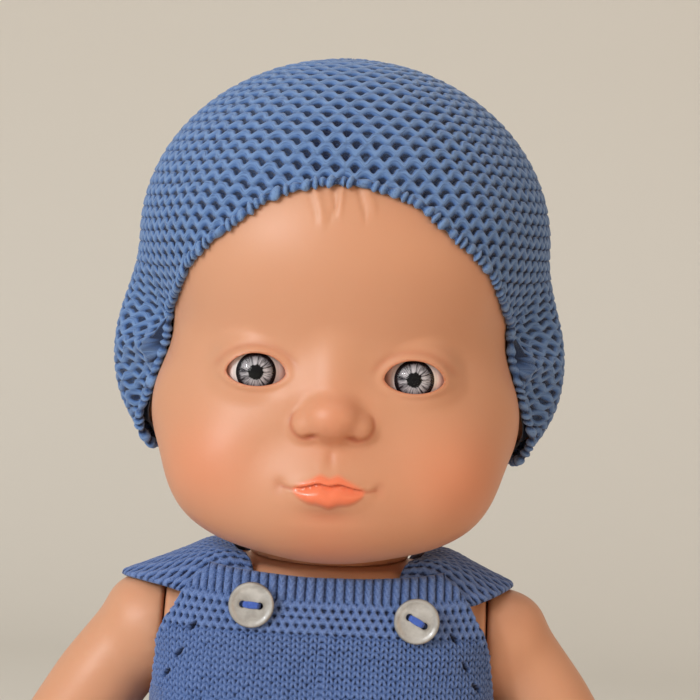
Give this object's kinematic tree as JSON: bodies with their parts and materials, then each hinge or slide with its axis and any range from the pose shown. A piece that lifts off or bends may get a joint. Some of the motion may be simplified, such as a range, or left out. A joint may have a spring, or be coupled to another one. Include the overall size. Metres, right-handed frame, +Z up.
{
  "type": "baby doll",
  "caption": "Seated vinyl baby doll with turning head, arms and legs, inset eyes, a garter stitch bonnet and a buttoned knitted romper",
  "frame": {"origin": "on the floor, on the flat underside of the seat between the hips", "axes": "+Z up, the face looks along -Y, +X is the doll's own left side"},
  "size_m": [0.1978, 0.1826, 0.2648],
  "materials": {
    "vinyl": "satin skin-coloured vinyl with a faint blush",
    "bonnet_knit": "matte denim blue garter stitch",
    "romper_knit": "matte blue knit with ribbed and garter bands",
    "eye_white": "glossy off-white",
    "iris_print": "streaked grey iris with a dark ring and pupil",
    "clear_front": "clear domed acrylic",
    "shell": "off-white shell",
    "sewing_thread": "royal blue thread"
  },
  "bodies": {
    "torso": {"torso": "vinyl", "romper_front": "romper_knit", "romper_back": "romper_knit", "left_strap": "romper_knit", "right_strap": "romper_knit", "left_button": "shell", "right_button": "shell", "left_button_thread": "sewing_thread", "right_button_thread": "sewing_thread"},
    "head": {"head": "vinyl", "bonnet": "bonnet_knit", "left_eye_white": "eye_white", "right_eye_white": "eye_white", "left_eye_iris": "iris_print", "right_eye_iris": "iris_print", "left_eye_cornea": "clear_front", "right_eye_cornea": "clear_front"},
    "left_arm": {"left_arm": "vinyl"},
    "right_arm": {"right_arm": "vinyl"},
    "left_leg": {"left_leg": "vinyl", "left_romper_leg": "romper_knit"},
    "right_leg": {"right_leg": "vinyl", "right_romper_leg": "romper_knit"}
  },
  "joints": [
    {"name": "neck_turn", "type": "hinge", "parent": "torso", "child": "head", "pos_m": [0, 0.003, 0.1265], "axis": [0, -0.1045, 0.9945], "continuous": true},
    {"name": "left_shoulder", "type": "hinge", "parent": "torso", "child": "left_arm", "pos_m": [0.044, 0, 0.104], "axis": [1, 0, 0], "range_deg": [-85, 90]},
    {"name": "right_shoulder", "type": "hinge", "parent": "torso", "child": "right_arm", "pos_m": [-0.044, 0, 0.104], "axis": [1, 0, 0], "range_deg": [-85, 90]},
    {"name": "left_hip", "type": "hinge", "parent": "torso", "child": "left_leg", "pos_m": [0.038, 0, 0.032], "axis": [0.8829, 0, -0.4695], "range_deg": [-10, 95]},
    {"name": "right_hip", "type": "hinge", "parent": "torso", "child": "right_leg", "pos_m": [-0.038, 0, 0.032], "axis": [0.8829, 0, 0.4695], "range_deg": [-10, 95]}
  ]
}
